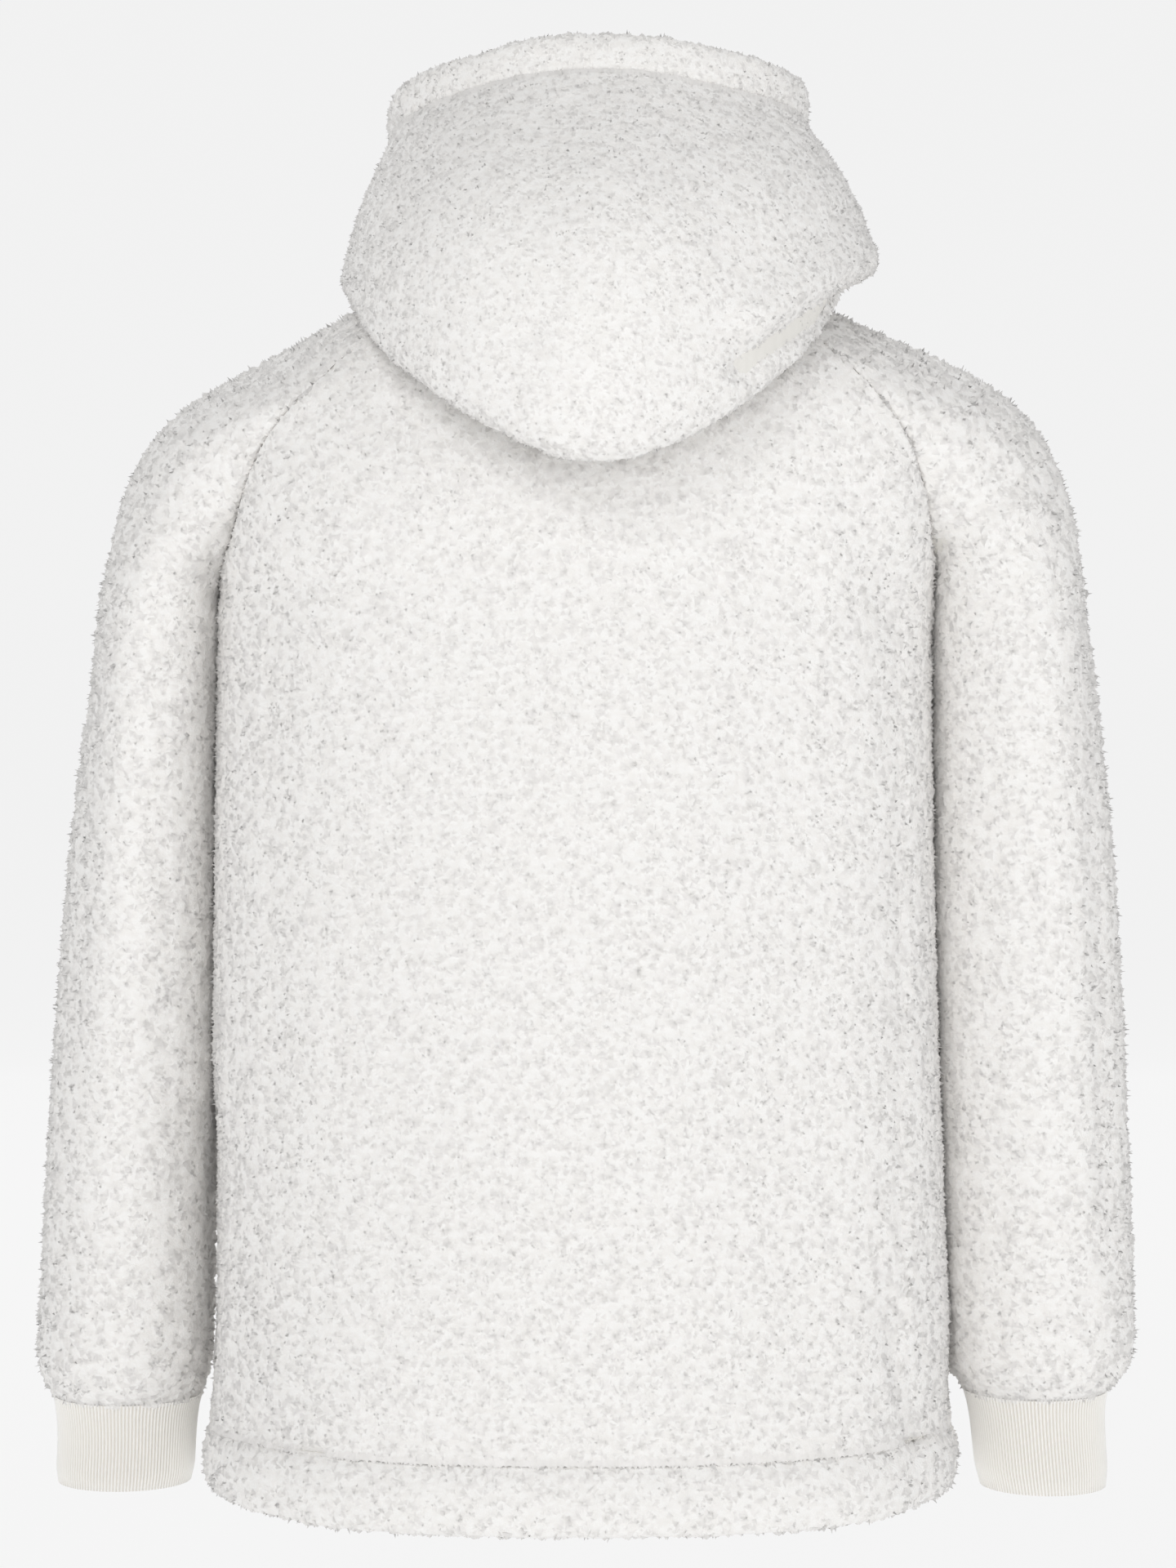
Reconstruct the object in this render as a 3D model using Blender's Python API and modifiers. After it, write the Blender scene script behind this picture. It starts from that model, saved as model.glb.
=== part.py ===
"""Half-zip fleece hoodie, filled out as it is worn, with nobody in it.

The garment stands in its worn shape: hollow body, hollow sleeves hanging at the
sides, the hood down on the back with its opening edge standing round the neck.
Units are metres, +Z is up, the front faces -Y and the back faces +Y.  The origin
is the middle of the neck, where a wearer holds the garment up.
"""

import math

import bmesh
import bpy
from mathutils import Matrix, Vector

GARMENT = "fleece_hoodie"
CUTTERS = "cutters"

SEAM_GAP = 0.0003          # room left between two sewn pieces
FLEECE_WALL = 0.0055       # knitted backing and its pile
HOOD_WALL = 0.0050
RIB_WALL = 0.0028          # doubled rib knit
BAND_THICK = 0.0095        # hood edge, two layers and the turning

PANEL_COLUMNS = 20         # cells across the back or the front
SLEEVE_COLUMNS = 22        # cells round a sleeve
YOKE_ROWS = 10             # rows from the neck down to the armpit
BODY_ROWS = 12             # rows from the armpit down to the hem seam
ARM_ROWS = 16              # rows from the armpit down to the cuff seam
HOOD_COLUMNS = 42
HOOD_ROWS = 17
CUFF_COLUMNS = 24
CUFF_ROWS = 5
SHARP_DEGREES = 50         # edges that bend more are drawn sharp

NECK_HALF_WIDTH = 0.095
NECK_HALF_DEPTH = 0.088
NECK_CENTRE_Y = -0.005
NECK_SIDE_Z = 0.035
NECK_BACK_DROP = 0.012     # the back of the neck seam below its sides
NECK_FRONT_DROP = 0.070
NECK_SEAM_RISE = 0.0020    # the hood's first stitch line above the body's neck edge

ZIP_SLOT_HALF = 0.0052     # half of the gap between the two front edges
ZIP_LENGTH_BELOW_NECK = 0.170
ZIP_TAPE_HALF = 0.0145
ZIP_TAPE_THICK = 0.0010
ZIP_TAPE_SPLIT = 0.0004
ZIP_TAPE_DEPTH = 0.0062    # front of the tape below the face of the fleece
ZIP_TAPE_SAG = 0.0018      # the tape's outer edge bends back with the chest
ZIP_TAPE_MIDDLE_SAG = 0.00036
ZIP_NECK_EXTRA = 0.0048    # the tape runs deeper past the neck seam's turned edge
ZIP_NECK_Z = -0.034
ZIP_NECK_REACH = 0.018
ZIP_TOP_MARGIN = 0.0010
ZIP_CHAIN_HALF = 0.0026
ZIP_CHAIN_THICK = 0.0022
ZIP_STEPS = 34
ZIP_SMOOTHING = 2
ZIP_STOP_LENGTH = 0.0045
ZIP_STOP_RISE = 0.0036     # middle of the stop above the foot of the slot
ZIP_CHAIN_RISE = 0.0063    # first tooth above the foot of the slot
ZIP_STOP_PROUD = 0.0003
ZIP_STOP_GAP = 0.0008
ZIP_STOP_EDGE = 0.0003

SLIDER_LENGTH = 0.0115
SLIDER_HALF_WIDTH = 0.0042
SLIDER_PLATE = 0.0013
SLIDER_FLANGE = 0.0010
SLIDER_FLANGE_DEPTH = 0.0018
SLIDER_CLEARANCE = 0.0005
SLIDER_BELOW_TOP = 0.0130  # middle of the slider below the top of the zip
BRIDGE_LENGTH = 0.0060
BRIDGE_HEIGHT = 0.0032
BRIDGE_HALF_WIDTH = 0.0010
BRIDGE_BAR = 0.0009
PULL_LENGTH = 0.0300
PULL_HALF_WIDTH = 0.0033
PULL_THICK = 0.0014
PULL_CROSSBAR = 0.0013
PULL_CLEARANCE = 0.0003
PULL_EYE_LENGTH = 0.0050
PULL_EYE_HALF = 0.0017

# Sleeve rings above the armpit, for each side.  "out" is the point on the top of the
# shoulder, "in" the far side of the ring, "start" the angle from the back at which the
# sleeve's cloth begins: 50 spans a short arc, -90 closes the ring under the arm.
YOKE_COLUMNS = ("out_x", "out_z", "in_x", "in_z", "half_y", "start", "back_lift", "front_lift")
YOKE = {
    "right": (
        (0.0950, 0.0350, -0.0950, 0.0350, 0.088, 50, -0.012, -0.070),
        (0.1400, 0.0110, -0.0500, 0.0280, 0.098, 42, -0.018, -0.060),
        (0.1790, -0.0060, 0.0000, 0.0130, 0.103, 33, -0.024, -0.052),
        (0.2140, -0.0210, 0.0350, -0.0100, 0.103, 22, -0.026, -0.046),
        (0.2520, -0.0430, 0.0820, -0.0550, 0.094, 8, -0.018, -0.034),
        (0.2740, -0.0740, 0.1280, -0.0980, 0.082, -8, -0.007, -0.018),
        (0.2840, -0.1050, 0.1660, -0.1280, 0.075, -28, 0.000, -0.006),
        (0.2900, -0.1320, 0.1940, -0.1440, 0.071, -58, 0.000, 0.000),
        (0.2940, -0.1540, 0.2030, -0.1560, 0.070, -90, 0.000, 0.000),
    ),
    "left": (
        (0.0950, 0.0350, -0.0950, 0.0350, 0.088, 50, -0.012, -0.070),
        (0.1360, 0.0080, -0.0500, 0.0260, 0.098, 42, -0.016, -0.060),
        (0.1730, -0.0120, 0.0000, 0.0080, 0.103, 32, -0.020, -0.052),
        (0.2090, -0.0310, 0.0400, -0.0160, 0.103, 21, -0.021, -0.046),
        (0.2420, -0.0520, 0.0900, -0.0560, 0.094, 8, -0.014, -0.034),
        (0.2630, -0.0790, 0.1360, -0.0960, 0.083, -8, -0.004, -0.018),
        (0.2730, -0.1100, 0.1740, -0.1260, 0.077, -28, 0.000, -0.006),
        (0.2790, -0.1360, 0.2030, -0.1430, 0.074, -58, 0.000, 0.000),
        (0.2840, -0.1580, 0.2130, -0.1560, 0.074, -90, 0.000, 0.000),
    ),
}

# Sleeve rings below the armpit: height, inner and outer side, middle and half depth.
ARM_COLUMNS = ("z", "in_x", "out_x", "mid_y", "half_y")
ARM = {
    "right": (
        (-0.155, 0.2030, 0.2940, -0.004, 0.070),
        (-0.195, 0.2032, 0.2985, -0.006, 0.070),
        (-0.300, 0.2045, 0.3105, -0.012, 0.068),
        (-0.400, 0.2065, 0.3175, -0.018, 0.066),
        (-0.500, 0.2100, 0.3225, -0.024, 0.064),
        (-0.560, 0.2125, 0.3260, -0.027, 0.062),
        (-0.598, 0.2140, 0.3262, -0.029, 0.060),
        (-0.616, 0.2165, 0.3225, -0.030, 0.055),
        (-0.629, 0.2262, 0.3100, -0.031, 0.043),
    ),
    "left": (
        (-0.157, 0.2130, 0.2840, -0.006, 0.074),
        (-0.195, 0.2162, 0.2890, -0.010, 0.074),
        (-0.300, 0.2180, 0.3040, -0.018, 0.071),
        (-0.400, 0.2185, 0.3130, -0.024, 0.069),
        (-0.500, 0.2200, 0.3205, -0.029, 0.067),
        (-0.560, 0.2215, 0.3235, -0.031, 0.065),
        (-0.602, 0.2225, 0.3265, -0.032, 0.062),
        (-0.620, 0.2250, 0.3240, -0.033, 0.056),
        (-0.632, 0.2300, 0.3165, -0.034, 0.045),
    ),
}

# Middle of the back and of the front, from the neck to the armpit row.
YOKE_MIDDLE_COLUMNS = ("back_y", "back_z", "front_y", "front_z", "fullness")
YOKE_MIDDLE = (
    (0.0830, 0.0230, -0.0930, -0.0350, 1.00),
    (0.0960, 0.0080, -0.1020, -0.0430, 1.00),
    (0.1070, -0.0120, -0.1100, -0.0540, 1.00),
    (0.1180, -0.0370, -0.1180, -0.0700, 1.05),
    (0.1260, -0.0640, -0.1250, -0.0880, 1.10),
    (0.1310, -0.0900, -0.1300, -0.1060, 1.30),
    (0.1340, -0.1160, -0.1340, -0.1260, 1.60),
    (0.1360, -0.1380, -0.1365, -0.1430, 2.00),
    (0.1370, -0.1560, -0.1380, -0.1560, 2.30),
)

# Body below the armpit: height, half width at each side, back and front depth.
BODY_COLUMNS = ("z", "right_x", "left_x", "back_y", "front_y")
BODY = (
    (-0.156, 0.2030, 0.2130, 0.1370, -0.1380),
    (-0.200, 0.1995, 0.2125, 0.1385, -0.1395),
    (-0.300, 0.2005, 0.2140, 0.1405, -0.1415),
    (-0.400, 0.2025, 0.2145, 0.1415, -0.1430),
    (-0.500, 0.2060, 0.2148, 0.1420, -0.1435),
    (-0.560, 0.2085, 0.2150, 0.1420, -0.1430),
    (-0.610, 0.2105, 0.2165, 0.1415, -0.1420),
    (-0.640, 0.2130, 0.2190, 0.1415, -0.1415),
)
BODY_FULLNESS = 2.3        # 2 is an ellipse, more is squarer
YOKE_SQUARER_ABOVE = 1.2   # fullness from which a yoke row is squarer, as the body is

# Hem casing below the body: height and how far the outside stands out from the seam.
HEM_SECTION_COLUMNS = ("z", "out", "thick")
HEM_SECTION = (
    (-0.6405, -0.0005, 0.0065),
    (-0.6500, 0.0040, 0.0105),
    (-0.6630, 0.0055, 0.0115),
    (-0.6750, 0.0045, 0.0110),
    (-0.6815, 0.0010, 0.0070),
)
HEM_CORNER_RISE = 0.006    # the hem climbs a little at the two sides
HEM_CORNER_POWER = 6

# Cuffs: height, inner and outer side, half depth.  The middle follows the sleeve's end.
CUFF_COLUMNS_TABLE = ("z", "in_x", "out_x", "half_y")
CUFF = {
    "right": (
        (-0.6293, 0.2262, 0.3100, 0.0430),
        (-0.6390, 0.2290, 0.3085, 0.0400),
        (-0.6520, 0.2310, 0.3085, 0.0385),
        (-0.6680, 0.2325, 0.3095, 0.0385),
        (-0.6860, 0.2350, 0.3105, 0.0385),
    ),
    "left": (
        (-0.6323, 0.2300, 0.3165, 0.0450),
        (-0.6420, 0.2325, 0.3150, 0.0415),
        (-0.6550, 0.2338, 0.3140, 0.0390),
        (-0.6700, 0.2345, 0.3145, 0.0385),
        (-0.6840, 0.2355, 0.3152, 0.0385),
    ),
}
CUFF_MIDDLE_Y = {"right": -0.031, "left": -0.034}

# Hood and collar, one row for each direction seen from above: 0 is the back, +90 the
# wearer's right (-X), 180 the front.  Each pair is a distance from the
# neck's axis and a height: the lip over the neck seam, the layer lying on the back, the
# lowest fold, the outer layer, the seam of the edge band and the standing edge.
HOOD_TABLE_COLUMNS = (
    "degrees", "lip_r", "lip_z", "under_r", "under_z", "fold_r", "fold_z",
    "bulge_r", "bulge_z", "outer_r", "outer_z", "seam_r", "seam_z", "edge_r", "edge_z",
)
HOOD = (
    (-180, 0.099, -0.022, 0.103, -0.010, 0.106, 0.0, 0.109, 0.010, 0.111, 0.021, 0.112, 0.033, 0.110, 0.059),
    (-150, 0.101, -0.006, 0.107, 0.004, 0.113, 0.012, 0.117, 0.023, 0.118, 0.036, 0.117, 0.052, 0.115, 0.077),
    (-120, 0.103, 0.033, 0.114, 0.031, 0.125, 0.026, 0.134, 0.034, 0.126, 0.060, 0.118, 0.083, 0.117, 0.107),
    (-90, 0.103, 0.053, 0.117, 0.042, 0.130, 0.025, 0.142, 0.030, 0.130, 0.062, 0.115, 0.106, 0.116, 0.130),
    (-61, 0.104, 0.055, 0.122, 0.026, 0.138, -0.002, 0.151, 0.005, 0.143, 0.060, 0.113, 0.113, 0.112, 0.138),
    (-36, 0.106, 0.053, 0.135, 0.014, 0.160, -0.038, 0.178, -0.028, 0.168, 0.050, 0.111, 0.120, 0.106, 0.144),
    (-19, 0.107, 0.052, 0.141, 0.000, 0.170, -0.072, 0.193, -0.052, 0.185, 0.040, 0.109, 0.125, 0.102, 0.150),
    (0, 0.107, 0.051, 0.144, -0.006, 0.174, -0.097, 0.200, -0.070, 0.193, 0.035, 0.108, 0.128, 0.100, 0.153),
    (20, 0.107, 0.052, 0.141, 0.000, 0.168, -0.078, 0.190, -0.058, 0.185, 0.040, 0.113, 0.126, 0.107, 0.151),
    (42, 0.106, 0.055, 0.140, 0.022, 0.164, -0.032, 0.181, -0.024, 0.174, 0.055, 0.120, 0.121, 0.118, 0.146),
    (66, 0.105, 0.057, 0.130, 0.037, 0.148, 0.011, 0.164, 0.019, 0.165, 0.064, 0.127, 0.118, 0.127, 0.142),
    (90, 0.104, 0.054, 0.123, 0.043, 0.148, 0.029, 0.168, 0.043, 0.155, 0.073, 0.130, 0.114, 0.131, 0.137),
    (120, 0.103, 0.033, 0.117, 0.032, 0.133, 0.029, 0.147, 0.039, 0.140, 0.064, 0.128, 0.090, 0.127, 0.114),
    (150, 0.101, -0.006, 0.107, 0.004, 0.114, 0.013, 0.119, 0.025, 0.120, 0.038, 0.119, 0.055, 0.117, 0.080),
    (180, 0.099, -0.022, 0.103, -0.010, 0.106, 0.000, 0.109, 0.010, 0.111, 0.021, 0.112, 0.033, 0.110, 0.059),
)
HOOD_AXIS_Y = -0.002
HOOD_PROFILE = ("lip", "under", "fold", "bulge", "outer", "seam", "edge")
HOOD_FRONT_DEGREES = 3.2   # from the middle of the front to the hood's front edges

# The edge band's section: share of the way up from its seam, share of its thickness.
BAND_SECTION = (
    (0.0, 0.05), (0.25, -0.10), (0.75, -0.10), (0.96, 0.15),
    (1.00, 0.50), (0.94, 0.90), (0.50, 1.05), (0.0, 0.95),
)
BAND_SEAM = 0.0009
BAND_TAPER_DEGREES = 16.0

# Largest folds of the body and sleeves as seen from the back or the front: a soft trough
# (negative) or ridge along a line, faded over its width and towards its ends.
FOLD_SIDE_FADE = 0.060     # folds die away this near to the side seams
FOLD_COLUMNS = ("side", "x0", "z0", "x1", "z1", "width", "height")
FOLDS = (
    ("back", -0.105, -0.150, -0.125, -0.560, 0.050, -0.0060),
    ("back", -0.160, -0.200, -0.165, -0.600, 0.028, 0.0030),
    ("back", 0.085, -0.170, 0.120, -0.480, 0.055, -0.0035),
    ("back", -0.190, -0.580, -0.196, -0.640, 0.016, -0.0040),
    ("back", 0.196, -0.590, 0.190, -0.640, 0.014, -0.0040),
    ("front", 0.110, -0.190, 0.125, -0.560, 0.050, -0.0055),
    ("front", -0.100, -0.210, -0.120, -0.520, 0.052, -0.0040),
    ("back", -0.208, -0.120, -0.252, -0.085, 0.012, -0.0035),
    ("back", 0.214, -0.105, 0.250, -0.080, 0.012, -0.0025),
    ("front", -0.208, -0.125, -0.250, -0.095, 0.013, -0.0035),
    ("front", 0.214, -0.120, 0.248, -0.092, 0.013, -0.0030),
)


def smooth(values, place):
    """A smooth value through evenly counted table values, at a place from 0 to 1."""
    last = len(values) - 1
    scaled = min(max(place, 0.0), 1.0) * last
    low = min(int(scaled), last - 1)
    step = scaled - low
    before = values[max(low - 1, 0)]
    here, after = values[low], values[low + 1]
    beyond = values[min(low + 2, last)]
    slope_here = (after - before) * 0.5
    slope_after = (beyond - here) * 0.5
    square, cube = step * step, step ** 3
    return (
        (2 * cube - 3 * square + 1) * here
        + (cube - 2 * square + step) * slope_here
        + (3 * square - 2 * cube) * after
        + (cube - square) * slope_after
    )


def table_row(table, columns, place):
    """One row read between a table's rows, as a dictionary with the columns' names."""
    return {name: smooth([row[i] for row in table], place) for i, name in enumerate(columns)}


def place_of(table, column, value):
    """The place from 0 to 1 in a table whose column rises or falls to the value."""
    last = len(table) - 1
    for i in range(last):
        low, high = table[i][column], table[i + 1][column]
        if min(low, high) <= value <= max(low, high):
            return (i + (value - low) / (high - low)) / last
    return 0.0 if abs(value - table[0][column]) < abs(value - table[-1][column]) else 1.0


def side_sign(side):
    """The wearer's right is -X, which is also the right edge of the photograph."""
    return -1.0 if side == "right" else 1.0


def sleeve_yoke_point(side, place, turn):
    """A point of the upper sleeve; turn runs from 0 at the back seam to 1 at the front."""
    row = table_row(YOKE[side], YOKE_COLUMNS, place)
    start = math.radians(row["start"])
    angle = start + (math.pi - 2 * start) * turn
    mid_x = (row["out_x"] + row["in_x"]) / 2
    mid_z = (row["out_z"] + row["in_z"]) / 2
    reach_x = (row["out_x"] - row["in_x"]) / 2
    reach_z = (row["out_z"] - row["in_z"]) / 2
    lift = row["back_lift"] if angle < math.pi / 2 else row["front_lift"]
    middle_y = NECK_CENTRE_Y * (1 - place) + ARM[side][0][3] * place
    x = mid_x + reach_x * math.sin(angle)
    y = middle_y + row["half_y"] * math.cos(angle)
    z = mid_z + reach_z * math.sin(angle) + lift * abs(math.cos(angle))
    return Vector((side_sign(side) * x, y, z))


def sleeve_arm_point(side, place, turn):
    """A point of the sleeve below the armpit; turn goes once round from the inner side."""
    row = table_row(ARM[side], ARM_COLUMNS, place)
    angle = -math.pi / 2 + 2 * math.pi * turn
    mid_x = (row["out_x"] + row["in_x"]) / 2
    reach_x = (row["out_x"] - row["in_x"]) / 2
    x = mid_x + reach_x * math.sin(angle)
    y = row["mid_y"] + row["half_y"] * math.cos(angle)
    return Vector((side_sign(side) * x, y, row["z"]))


def panel_yoke_point(face, place, across):
    """A point of the back or front above the armpit; across runs from right to left."""
    turn = 0.0 if face == "back" else 1.0
    right = sleeve_yoke_point("right", place, turn)
    left = sleeve_yoke_point("left", place, turn)
    middle = table_row(YOKE_MIDDLE, YOKE_MIDDLE_COLUMNS, place)
    return panel_row_point(right, left, middle[face + "_y"], middle[face + "_z"],
                           middle["fullness"], across)


def panel_body_point(face, place, across):
    """A point of the back or front below the armpit."""
    row = table_row(BODY, BODY_COLUMNS, place)
    right = Vector((-row["right_x"], ARM["right"][0][3] * (1 - place), row["z"]))
    left = Vector((row["left_x"], ARM["left"][0][3] * (1 - place), row["z"]))
    return panel_row_point(right, left, row[face + "_y"], row["z"], BODY_FULLNESS, across)


def panel_row_point(right, left, middle_y, middle_z, fullness, across):
    """One point of a row bowed out between its two side points."""
    share = (across + 1) / 2
    side_y = right.y + (left.y - right.y) * share
    side_z = right.z + (left.z - right.z) * share
    square = BODY_FULLNESS if fullness > YOKE_SQUARER_ABOVE else 2.0
    bow = max(1 - abs(across) ** square, 0.0) ** (1 / fullness)
    rise = 1 - across * across
    x = right.x + (left.x - right.x) * share
    mean_z = (right.z + left.z) / 2
    return Vector((x, side_y + (middle_y - side_y) * bow, side_z + (middle_z - mean_z) * rise))


def across_values(face):
    """Places across a panel, even round its bow; the front keeps a narrow middle cell."""
    half = PANEL_COLUMNS // 2
    values = [-math.cos(math.pi * i / PANEL_COLUMNS) for i in range(PANEL_COLUMNS + 1)]
    if face == "back":
        return values
    middle = [None, None]
    return values[:half] + middle + values[half + 1:]


def panel_rows(face):
    """All rows of a panel from the neck down to the hem seam."""
    rows = []
    for i in range(YOKE_ROWS + BODY_ROWS + 1):
        if i <= YOKE_ROWS:
            place, point = i / YOKE_ROWS, panel_yoke_point
        else:
            place, point = (i - YOKE_ROWS) / BODY_ROWS, panel_body_point
        right, left = point(face, place, -1.0), point(face, place, 1.0)
        row = []
        for column, across in enumerate(across_values(face)):
            if across is None:
                sign = -1.0 if column == PANEL_COLUMNS // 2 else 1.0
                across = (sign * ZIP_SLOT_HALF - right.x) / (left.x - right.x) * 2 - 1
            row.append(point(face, place, across))
        rows.append(row)
    return rows


def sleeve_rows(side):
    """All rows of a sleeve: open arcs down to the armpit, then closed rings."""
    rows = []
    for i in range(YOKE_ROWS + 1):
        rows.append([sleeve_yoke_point(side, i / YOKE_ROWS, j / SLEEVE_COLUMNS)
                     for j in range(SLEEVE_COLUMNS + 1)])
    for i in range(1, ARM_ROWS + 1):
        rows.append([sleeve_arm_point(side, i / ARM_ROWS, j / SLEEVE_COLUMNS)
                     for j in range(SLEEVE_COLUMNS + 1)])
    return rows


def fold_height(point):
    """How far the largest folds move a point out (+) or in (-)."""
    total = 0.0
    for row in FOLDS:
        fold = dict(zip(FOLD_COLUMNS, row))
        if (point.y > 0) != (fold["side"] == "back"):
            continue
        start = Vector((fold["x0"], fold["z0"]))
        along = Vector((fold["x1"], fold["z1"])) - start
        place = (Vector((point.x, point.z)) - start).dot(along) / along.length_squared
        nearest = start + along * min(max(place, 0.0), 1.0)
        distance = (Vector((point.x, point.z)) - nearest).length / fold["width"]
        fade = min(abs(point.y) / FOLD_SIDE_FADE, 1.0)
        total += fold["height"] * fade * math.exp(-distance * distance)
    return total


def wall_normals(panels):
    """Outward directions at all points, shared where two pieces meet at a seam."""
    gathered = {}
    for rows, skip in panels.values():
        for i in range(len(rows) - 1):
            for j in range(len(rows[0]) - 1):
                corners = (rows[i][j], rows[i][j + 1], rows[i + 1][j + 1], rows[i + 1][j])
                normal = (corners[2] - corners[0]).cross(corners[3] - corners[1])
                for corner in corners:
                    key = point_key(corner)
                    gathered[key] = gathered.get(key, Vector()) + normal
    return gathered


def point_key(point):
    return tuple(round(value, 5) for value in point)


def normal_at(gathered, point):
    return gathered[point_key(point)].normalized()


def drawn_in(rows, inner, closed_from=None):
    """Moves the border points of a wall in by half of the seam gap."""
    def pull(grid, i, j, to_i, to_j):
        step = grid[to_i][to_j] - grid[i][j]
        grid[i][j] = grid[i][j] + step.normalized() * SEAM_GAP
    last_row, last_column = len(rows) - 1, len(rows[0]) - 1
    for grid in (rows, inner):
        for j in range(last_column + 1):
            pull(grid, 0, j, 1, j)
            pull(grid, last_row, j, last_row - 1, j)
        for i in range(last_row + 1):
            if closed_from is None or i <= closed_from:
                pull(grid, i, 0, i, 1)
                pull(grid, i, last_column, i, last_column - 1)


def mesh_object(name, bm, surface):
    """A named object in the garment's collection with a material of its own."""
    bmesh.ops.recalc_face_normals(bm, faces=bm.faces)
    mesh = bpy.data.meshes.new(name)
    bm.to_mesh(mesh)
    bm.free()
    mesh.shade_smooth()
    mesh.set_sharp_from_angle(angle=math.radians(SHARP_DEGREES))
    made = bpy.data.objects.new(name, mesh)
    bpy.data.collections[GARMENT].objects.link(made)
    paint(made, name, surface)
    return made


def paint(made, name, surface):
    colour, roughness, metallic = surface
    material = bpy.data.materials.new(name + "_material")
    material.use_nodes = True
    shader = material.node_tree.nodes["Principled BSDF"]
    shader.inputs["Base Color"].default_value = (*colour, 1.0)
    shader.inputs["Roughness"].default_value = roughness
    shader.inputs["Metallic"].default_value = metallic
    made.data.materials.clear()
    made.data.materials.append(material)


def wall_from_rows(name, outer, inner, surface, skip=(), weld=True):
    """A closed wall between an outer and an inner grid of points, with rims all round."""
    bm = bmesh.new()
    count_i, count_j = len(outer), len(outer[0])
    front = [[bm.verts.new(p) for p in row] for row in outer]
    back = [[bm.verts.new(p) for p in row] for row in inner]
    edges = {}

    def add_face(a, b):
        """The face between two grid corners on both sides, and a count of its edges."""
        corners = [(a[0], a[1]), (a[0], b[1]), (b[0], b[1]), (b[0], a[1])]
        bm.faces.new([front[i][j] for i, j in corners])
        bm.faces.new([back[i][j] for i, j in reversed(corners)])
        for k in range(4):
            pair = (corners[k], corners[(k + 1) % 4])
            opposite = (pair[1], pair[0])
            if opposite in edges:
                del edges[opposite]
            else:
                edges[pair] = True

    for i in range(count_i - 1):
        for j in range(count_j - 1):
            if (i, j) not in skip:
                add_face((i, j), (i + 1, j + 1))
    for (a, b) in edges:
        same = weld and (outer[a[0]][a[1]] - outer[a[0]][count_j - 1 - a[1]]).length < 1e-6
        same_b = weld and (outer[b[0]][b[1]] - outer[b[0]][count_j - 1 - b[1]]).length < 1e-6
        on_side = a[1] == b[1] and a[1] in (0, count_j - 1)
        if on_side and same and same_b:
            continue
        high, low = sorted((a, b), key=lambda c: -outer[c[0]][c[1]].z)
        corner = (front[high[0]][high[1]], back[low[0]][low[1]])
        bm.faces.new([corner[0], front[low[0]][low[1]], corner[1]])
        bm.faces.new([corner[0], corner[1], back[high[0]][high[1]]])
    bmesh.ops.remove_doubles(bm, verts=bm.verts, dist=1e-6)
    loose = [v for v in bm.verts if not v.link_faces]
    bmesh.ops.delete(bm, geom=loose, context="VERTS")
    return mesh_object(name, bm, surface)


# Each surface's colour, roughness and how metallic it is.
FLEECE = ((0.86, 0.85, 0.82), 0.95, 0.0)
RIB = ((0.87, 0.84, 0.77), 0.85, 0.0)
TAPE = ((0.84, 0.82, 0.77), 0.85, 0.0)
TEETH = ((0.84, 0.82, 0.78), 0.45, 0.0)
METAL = ((0.62, 0.61, 0.60), 0.35, 1.0)


def build_body_and_sleeves():
    """The back, the front with its zip slot and two raglan sleeves."""
    slot_rows = zip_slot_rows()
    panels = {
        "back_panel": (panel_rows("back"), ()),
        "front_panel": (panel_rows("front"),
                        {(i, PANEL_COLUMNS // 2) for i in range(slot_rows)}),
        "sleeve_right": (sleeve_rows("right"), ()),
        "sleeve_left": (sleeve_rows("left"), ()),
    }
    facing = {"back_panel": 1, "front_panel": -1, "sleeve_right": -1, "sleeve_left": 1}
    turned = {}
    for name, (rows, skip) in panels.items():
        turned[name] = ([list(row) if facing[name] > 0 else list(reversed(row)) for row in rows],
                        skip)
    gathered = wall_normals(turned)
    for side in ("right", "left"):
        under_arm = sleeve_yoke_point(side, 1.0, 0.0)
        gathered[point_key(under_arm)] = Vector((0.0, 0.0, -1.0))
    for name, (rows, skip) in turned.items():
        normals = [[normal_at(gathered, p) for p in row] for row in rows]
        outer = [[p + n * fold_height(p) for p, n in zip(row, ns)]
                 for row, ns in zip(rows, normals)]
        inner = [[p - n * FLEECE_WALL for p, n in zip(row, ns)]
                 for row, ns in zip(outer, normals)]
        closed_from = YOKE_ROWS if name.startswith("sleeve") else None
        drawn_in(outer, inner, closed_from)
        wall_from_rows(name, outer, inner, FLEECE, skip, closed_from is not None)


def zip_slot_rows():
    """How many rows of the front from the neck down are open for the zip."""
    rows = panel_rows("front")
    limit = rows[0][PANEL_COLUMNS // 2].z - ZIP_LENGTH_BELOW_NECK
    return sum(1 for row in rows if row[PANEL_COLUMNS // 2].z > limit)


def loft(name, rings, surface, endless=False):
    """A closed solid through equal rings of points, with flat ends or joined round."""
    bm = bmesh.new()
    made = [[bm.verts.new(p) for p in ring] for ring in rings]
    count = len(rings[0])
    pairs = list(zip(made, made[1:]))
    if endless:
        pairs.append((made[-1], made[0]))
    for low, high in pairs:
        for k in range(count):
            after = (k + 1) % count
            bm.faces.new([low[k], low[after], high[after], high[k]])
    if not endless:
        bm.faces.new(made[0])
        bm.faces.new(list(reversed(made[-1])))
    return mesh_object(name, bm, surface)


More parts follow.
